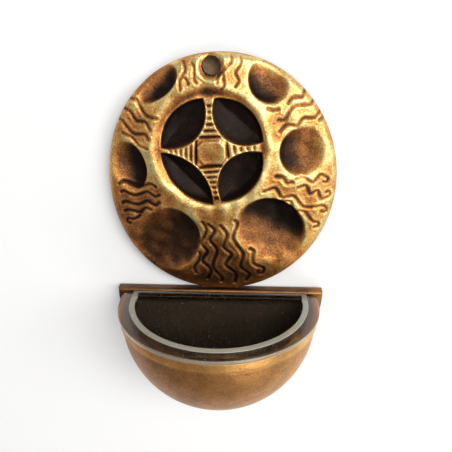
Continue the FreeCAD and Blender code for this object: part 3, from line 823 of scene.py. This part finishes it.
bowl_mesh = bmesh.new()
band_z = RIM_Z - BAND_HIGH
outer_turn = math.pi / 2 + math.asin((band_z - CUP_Z) / BOWL_OUT)
spun_arc(bowl_mesh, (PLATE_X, CUP_Y, CUP_Z - BOWL_OUT), CUP_CENTRE, (0, -1, 0), outer_turn, 40)
spun_arc(bowl_mesh, (PLATE_X, CUP_Y, CUP_Z - BOWL_IN), CUP_CENTRE, (0, -1, 0), math.pi / 2, 32)
band_in = BOWL_OUT * math.sin(outer_turn)
chain(bowl_mesh, [(band_in, band_z), (BAND_OUT, band_z), (BAND_OUT, RIM_Z), (BOWL_IN, RIM_Z),
                  (BOWL_IN, CUP_Z)])
bmesh.ops.remove_doubles(bowl_mesh, verts=bowl_mesh.verts, dist=1e-3)
half_round(bowl_mesh, -PLATE_THICK)
close_back(bowl_mesh, -PLATE_THICK)
bmesh.ops.recalc_face_normals(bowl_mesh, faces=bowl_mesh.faces)


def from_axis(co):
    return math.hypot(co.x - PLATE_X, min(co.y - CUP_Y, 0))


corners = [e for e in bowl_mesh.edges
           if all(from_axis(v.co) > BAND_OUT - 0.05 and v.co.z > band_z - 0.05 for v in e.verts)
           and abs(e.verts[0].co.z - e.verts[1].co.z) < 0.01 and len(e.link_faces) == 2
           and e.calc_face_angle(0) > 0.7]
inner_rim = [e for e in bowl_mesh.edges
             if all(abs(v.co.z - RIM_Z) < 0.01 and from_axis(v.co) < BOWL_IN + 0.05 for v in e.verts)
             and e.calc_face_angle(0) > 0.7]
bmesh.ops.bevel(bowl_mesh, geom=corners + inner_rim, offset=RIM_SOFT, offset_type="OFFSET", segments=3,
                profile=0.5, affect="EDGES", material=-1)
bowl = to_object(bowl_mesh, "bowl_cast")

LUG_RADIUS, LUG_LENGTH = 3.0, 3.0
for lug_x, lug_z in LUGS:
    out = Vector((lug_x - PLATE_X, lug_z - CUP_Z)).normalized() * LUG_RADIUS / 2
    for px, pz in ((lug_x, lug_z), (lug_x + out.x, lug_z + out.y)):
        carve(bowl, rod(px, pz, LUG_RADIUS, -PLATE_THICK - 0.01, -PLATE_THICK - LUG_LENGTH), "UNION")
    carve(bowl, rod(lug_x, lug_z, TAPPED, 0, -PLATE_THICK - LUG_LENGTH - 1))
place = coordinates(bowl.data)
radius = np.hypot(place[:, 0] - PLATE_X, np.minimum(place[:, 1] - CUP_Y, 0))
from_centre = np.hypot(radius, np.minimum(place[:, 2] - CUP_Z, 0))
outside = step((from_centre - BOWL_IN - 0.6) / 0.9)
band = outside * step((place[:, 2] - band_z + 0.4) / 0.6)
# painted light: the outside of the bowl is made lighter towards its right, where the light falls
painted_light_to_right = (place[:, 0] - PLATE_X) / BOWL_OUT
set_share(bowl.data, "rub_and_painted_light", 0.24 + outside * (0.30 + 0.14 * painted_light_to_right) + 0.16 * band)
bowl.data.set_sharp_from_angle(angle=SMOOTH_ANGLE)
dress(bowl, "bowl", "stoup", bowl_finish)

# %% [markdown]
# ## The clear liner
# The liner is a thin cup that follows the bowl, with a flat flange that rests on the rim, a raised lip
# round its mouth, and a back wall that leans so that it can be tipped out. It is moulded in one piece, so
# its solid outside is made first, joined from a cup, a flange and a lip, and its inside is then cut out.

# %% Liner
FLANGE_TOP, FLANGE_THICK, FLANGE_OUT, FLANGE_CORNER = -78.6, 1.4, 34.9, 3.0
LINER_OUT, LINER_WALL, LINER_BACK = 30.4, 1.2, -4.9
BEAD_WIDE, BEAD_HIGH = 1.9, 0.5
FLANGE_SOFT, BEAD_SOFT = 0.3, 0.2       # rounding of their edges
LEAN = math.radians(12)
MOUTH = LINER_OUT - LINER_WALL


def cup_solid(radius, top, y_back, name):
    """Solid half-round cup form whose back leans forward below the flange."""
    bm = bmesh.new()
    spun_arc(bm, (PLATE_X, CUP_Y, CUP_Z - radius), CUP_CENTRE, (0, -1, 0), math.pi / 2, 36)
    chain(bm, [(radius, CUP_Z), (radius, top), (0, top)])
    bmesh.ops.remove_doubles(bm, verts=bm.verts, dist=1e-3)
    half_round(bm, 0)
    normal = Vector((0, math.cos(LEAN), -math.sin(LEAN)))
    everything = bm.verts[:] + bm.edges[:] + bm.faces[:]
    cut = bmesh.ops.bisect_plane(bm, geom=everything, dist=1e-5, plane_co=(0, y_back, FLANGE_TOP),
                                 plane_no=normal, clear_outer=True)["geom_cut"]
    bmesh.ops.edgeloop_fill(bm, edges=only_edges(cut))
    return to_object(bm, name)


def d_plate(radius, y_back, low, high, corner, soften, name):
    """Flat plate with a straight back and a round front."""
    bm = bmesh.new()
    spun_arc(bm, (PLATE_X + radius, CUP_Y, low), (PLATE_X, CUP_Y, low), (0, 0, 1), -math.pi, ARC_STEPS)
    ends = [v for v in bm.verts if abs(v.co.y - CUP_Y) < 1e-4]
    backs = [bm.verts.new((v.co.x, y_back, low)) for v in ends]
    for a, b in zip(ends, backs):
        bm.edges.new((a, b))
    bm.edges.new(backs)
    bmesh.ops.edgeloop_fill(bm, edges=bm.edges[:])
    push_out(bm, (0, 0, high - low))
    bmesh.ops.recalc_face_normals(bm, faces=bm.faces)
    if corner:
        uprights = [e for e in bm.edges if all(abs(v.co.y - y_back) < 1e-4 for v in e.verts)
                    and abs(e.verts[0].co.z - e.verts[1].co.z) > 0.1]
        bmesh.ops.bevel(bm, geom=uprights, offset=corner, offset_type="OFFSET", segments=8, profile=0.5,
                        affect="EDGES", material=-1)
    flats = [e for e in bm.edges if abs(e.verts[0].co.z - e.verts[1].co.z) < 1e-4]
    bmesh.ops.bevel(bm, geom=flats, offset=soften, offset_type="OFFSET", segments=3, profile=0.5,
                    affect="EDGES", material=-1)
    return to_object(bm, name)


bead_top = FLANGE_TOP + BEAD_HIGH
liner = cup_solid(LINER_OUT, FLANGE_TOP + 0.2, LINER_BACK, "liner_clear")
flange_plate = d_plate(FLANGE_OUT, LINER_BACK, FLANGE_TOP - FLANGE_THICK, FLANGE_TOP, FLANGE_CORNER,
                       FLANGE_SOFT, "flange")
carve(liner, flange_plate, "UNION")
lip_plate = d_plate(MOUTH + BEAD_WIDE, LINER_BACK - 0.03, FLANGE_TOP - 0.4, bead_top, 0.0, BEAD_SOFT, "lip")
carve(liner, lip_plate, "UNION")
carve(liner, cup_solid(MOUTH, FLANGE_TOP + 5, LINER_BACK - LINER_WALL, "inside"))
WEAR_LEVELS = (0.1, -1.45, -2.5, -3.55)     # heights over the flange's top, between which wear changes
cut_across(liner.data, [((0, 0, FLANGE_TOP + rise), (0, 0, 1)) for rise in WEAR_LEVELS])
place = coordinates(liner.data)
reach = np.hypot(place[:, 0] - PLATE_X, np.minimum(place[:, 1] - CUP_Y, 0))
# the lip is made paler and less clear, half as much at its back by the ledge
lip = step((place[:, 2] - FLANGE_TOP - 0.1) / 0.2) * (0.5 + 0.5 * step(-place[:, 1] - 6.5))
# painted highlight: the flange's rounded outer edge is made paler and less clear, as a bright edge
rim = step((reach - FLANGE_OUT + 0.28) / 0.2)
flange = step((reach - LINER_OUT - 0.1) / 0.3)
film = step((FLANGE_TOP - 1.5 - place[:, 2]) / 2.0)        # clouded where water stands
set_share(liner.data, "wear_and_highlight", np.maximum.reduce([0.8 * lip, 0.6 * rim, 0.03 * flange, 0.045 * film]))
dress(liner, "liner", "lift_out_liner", clear_plastic)

# %% [markdown]
# ## The strap and the screws
# These are plain bought or cut parts whose CAD shape is already right, so the CAD nodes stay and only get
# their finishes: rolled brass for the strap, zinc-plated steel for the seven screws.

# %% Strap and screws
for node, material in {"joining_strap": brass, "disc_screws": zinc, "plate_screws": zinc,
                       "bowl_screws": zinc}.items():
    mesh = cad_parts[node].data
    for index in range(max(len(mesh.materials), 1)):
        if index < len(mesh.materials):
            mesh.materials[index] = material
        else:
            mesh.materials.append(material)
print("dressed strap and screws")

# %% [markdown]
# ## Wall, floor and light
# The stoup hangs on a white wall over a pale floor. The wall is a matt white whose back is clear, so the
# stoup can be seen from behind too. Seen straight on, or in a reflection, it adds a little white of its
# own, which makes the background white without throwing more light on the metal, and keeps the shadow.


# %% Wall and floor
def sheet(name, corners, material):
    bm = bmesh.new()
    bm.faces.new([bm.verts.new(c) for c in corners])
    mesh = bpy.data.meshes.new(name)
    bm.to_mesh(mesh)
    bm.free()
    mesh.materials.append(material)
    piece = bpy.data.objects.new(name, mesh)
    bpy.context.scene.collection.objects.link(piece)
    piece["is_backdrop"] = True


def pale_paint(name, colour, glow):
    """Matt paint with a clear back; glow is the white it adds to what sees it directly."""
    material, tree = new_material(name)
    path = add_node(tree, "ShaderNodeLightPath").outputs
    seen = maths(tree, "MAXIMUM", path["Is Camera Ray"], path["Is Glossy Ray"])
    seen = maths(tree, "MAXIMUM", seen, path["Is Transmission Ray"])
    paint = add_node(tree, "ShaderNodeBsdfDiffuse", {}, {"Color": linear(colour)})
    white = add_node(tree, "ShaderNodeEmission", {}, {"Strength": maths(tree, "MULTIPLY", seen, glow)})
    both = add_node(tree, "ShaderNodeAddShader")
    tree.links.new(paint.outputs[0], both.inputs[0])
    tree.links.new(white.outputs[0], both.inputs[1])
    clear = add_node(tree, "ShaderNodeBsdfTransparent")
    side = add_node(tree, "ShaderNodeNewGeometry")
    mix = add_node(tree, "ShaderNodeMixShader", {}, {"Fac": side.outputs["Backfacing"]})
    tree.links.new(both.outputs[0], mix.inputs[1])
    tree.links.new(clear.outputs[0], mix.inputs[2])
    cover(tree, mix.outputs[0])
    return material


WALL_Y, WALL_TOP, SPREAD = 0.0006, 1.0, 3.0
FLOOR_Z, FLOOR_FRONT, FLOOR_BACK = -1.25, -6, 3
wall_paint = pale_paint("White matt wall paint", "#F0F0EF", 0.14)
floor_paint = pale_paint("Pale matt floor", "#E8E6E2", 0.0)
sheet("wall", [(-SPREAD, WALL_Y, FLOOR_Z), (SPREAD, WALL_Y, FLOOR_Z), (SPREAD, WALL_Y, WALL_TOP),
               (-SPREAD, WALL_Y, WALL_TOP)], wall_paint)
# Painted shade: a brown sheet on the wall just behind the hanging hole, so the wall seen through the hole
# looks dark, as in the deep shadow behind the disc.
shade_sheet_paint, tree = new_material("Painted shade behind the hanging hole")
shade_mottle = noise(tree, own_place(tree), 1.2, 2.0)
shade_sheet = add_node(tree, "ShaderNodeBsdfDiffuse", {}, {
    "Color": ramp(tree, shade_mottle, [(0.3, "#8A6C53"), (0.7, "#A98A6C")])})
cover(tree, shade_sheet.outputs["BSDF"])
SHADE_SHEET_RADIUS = 0.0034
sheet("painted shade sheet", [(SHADE_SHEET_RADIUS * math.cos(a), WALL_Y - 0.0001, SHADE_SHEET_RADIUS * math.sin(a))
                    for a in np.linspace(0, 2 * math.pi, 24, endpoint=False)], shade_sheet_paint)
sheet("floor", [(-SPREAD, FLOOR_FRONT, FLOOR_Z), (SPREAD, FLOOR_FRONT, FLOOR_Z),
                (SPREAD, FLOOR_BACK, FLOOR_Z), (-SPREAD, FLOOR_BACK, FLOOR_Z)], floor_paint)


# %% Lamps
def lamp(name, place, target, size, power, colour):
    data = bpy.data.lights.new(name, "AREA")
    data.shape = "RECTANGLE"
    data.size, data.size_y = size
    data.energy = power
    data.color = linear(colour)[:3]
    light = bpy.data.objects.new(name, data)
    light.location = place
    light.rotation_euler = (Vector(target) - Vector(place)).to_track_quat("-Z", "Y").to_euler()
    bpy.context.scene.collection.objects.link(light)


middle = (0.0, -0.01, -0.05)
lamp("high window", (0.36, -0.80, 0.38), middle, (0.5, 0.45), 4.8, "#FFFFFF")
lamp("side window", (0.72, -0.58, 0.14), middle, (0.4, 0.5), 2.9, "#FFFFFF")
lamp("low window", (0.45, -0.60, -0.50), middle, (0.4, 0.3), 1.2, "#FFFFFF")
lamp("room", (-0.4, -0.85, 0.30), middle, (0.6, 0.5), 0.7, "#FFFFFF")
world = bpy.data.worlds.new("room light")
bpy.context.scene.world = world
world.use_nodes = True
world.node_tree.nodes["Background"].inputs["Color"].default_value = linear("#FFFFFF")
world.node_tree.nodes["Background"].inputs["Strength"].default_value = 0.32
bpy.context.scene.view_settings.view_transform = "Standard"
print("lamps", len(bpy.data.lights))

# %% [markdown]
# ## Finish
# The size of the dressed stoup is printed.

# %% Sizes and finish
low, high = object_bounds()
print("visual", [round(c, 4) for c in (*low, *high)])
